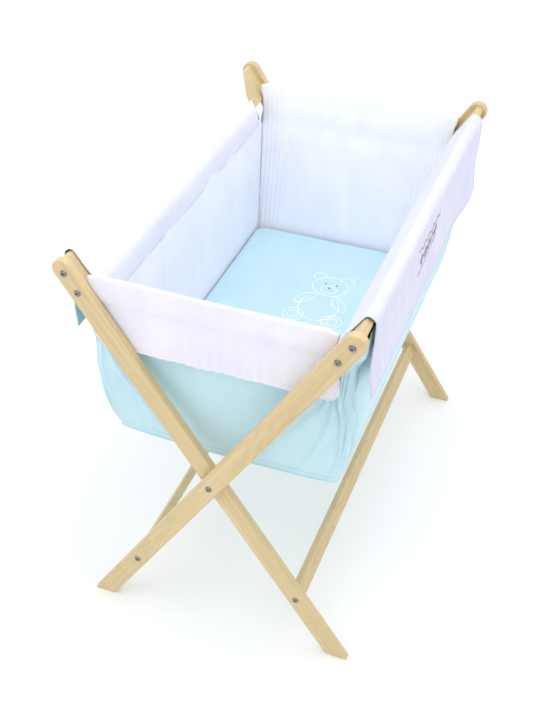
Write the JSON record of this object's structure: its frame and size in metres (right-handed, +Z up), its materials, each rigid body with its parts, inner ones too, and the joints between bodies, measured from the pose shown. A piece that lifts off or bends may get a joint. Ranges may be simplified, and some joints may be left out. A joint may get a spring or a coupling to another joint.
{
  "type": "folding bassinet on a stand",
  "caption": "Cloth baby basket hung between the top rails of two crossed wooden frames that fold on pivot bolts, with a mattress on a base board.",
  "frame": {"origin": "on the floor, at the middle of the stand, under the pivot bolts", "axes": "+Z up, +Y along the basket's length, +X across it towards the right rail; the stand is the same turned half a turn about Z"},
  "size_m": [0.5826, 0.9206, 0.8703],
  "materials": {
    "beech": "clear satin varnish on pale straight-grained wood",
    "dowel_wood": "plain fluted dowel wood, unfinished",
    "hardboard": "smooth hardboard, unfinished",
    "zinc_steel": "zinc-plated steel, slightly dull",
    "nylon": "natural nylon",
    "white_cotton": "fine plain-weave white cotton",
    "blue_cotton": "fine plain-weave pale blue cotton",
    "cyan_cotton": "fine plain-weave light cyan cotton with white stitching",
    "mattress_ticking": "white ticking over foam"
  },
  "bodies": {
    "left_frame": {"near_inner_leg": "beech", "far_outer_leg": "beech", "left_rail": "beech", "right_stretcher": "beech", "left_rail_bolts": "zinc_steel", "right_stretcher_bolts": "zinc_steel", "left_rail_nuts": "zinc_steel", "right_stretcher_nuts": "zinc_steel", "right_stretcher_dowels": "dowel_wood", "pivot_bolts": "zinc_steel", "pivot_washers": "nylon", "pivot_cap_nuts": "zinc_steel", "left_sleeve": "white_cotton", "left_flap": "white_cotton", "left_liner": "white_cotton", "right_liner": "white_cotton", "near_liner": "white_cotton", "far_liner": "white_cotton", "left_outer_panel": "blue_cotton", "right_outer_panel": "blue_cotton", "near_outer_panel": "blue_cotton", "far_outer_panel": "blue_cotton", "near_flap": "white_cotton", "far_flap": "white_cotton", "near_hem": "white_cotton", "far_hem": "white_cotton", "basket_floor": "blue_cotton"},
    "right_frame": {"near_outer_leg": "beech", "far_inner_leg": "beech", "right_rail": "beech", "left_stretcher": "beech", "right_rail_bolts": "zinc_steel", "left_stretcher_bolts": "zinc_steel", "right_rail_nuts": "zinc_steel", "left_stretcher_nuts": "zinc_steel", "left_stretcher_dowels": "dowel_wood", "right_sleeve": "white_cotton"},
    "right_flap": {"right_flap": "white_cotton"},
    "bedding": {"base_board": "hardboard", "mattress": "mattress_ticking", "mattress_cover": "cyan_cotton"}
  },
  "joints": [
    {"name": "fold", "type": "hinge", "parent": "left_frame", "child": "right_frame", "pos_m": [0, 0, 0.4228], "axis": [0, -1, 0], "range_deg": [0, 56], "deforming": ["left_liner", "right_liner", "near_liner", "far_liner", "left_outer_panel", "right_outer_panel", "near_outer_panel", "far_outer_panel", "near_flap", "far_flap", "near_hem", "far_hem", "basket_floor", "mattress", "mattress_cover"]},
    {"name": "right_flap_hang", "type": "hinge", "parent": "right_frame", "child": "right_flap", "pos_m": [0.2851, 0, 0.7802], "axis": [0, -1, 0], "range_deg": [-56, 0]},
    {"name": "bedding_lift", "type": "slide", "parent": "left_frame", "child": "bedding", "axis": [0, 0, 1], "range_m": [0, 0.5]}
  ],
  "couplings": [
    {"joint": "right_flap_hang", "follows": "fold", "ratio": -1}
  ]
}
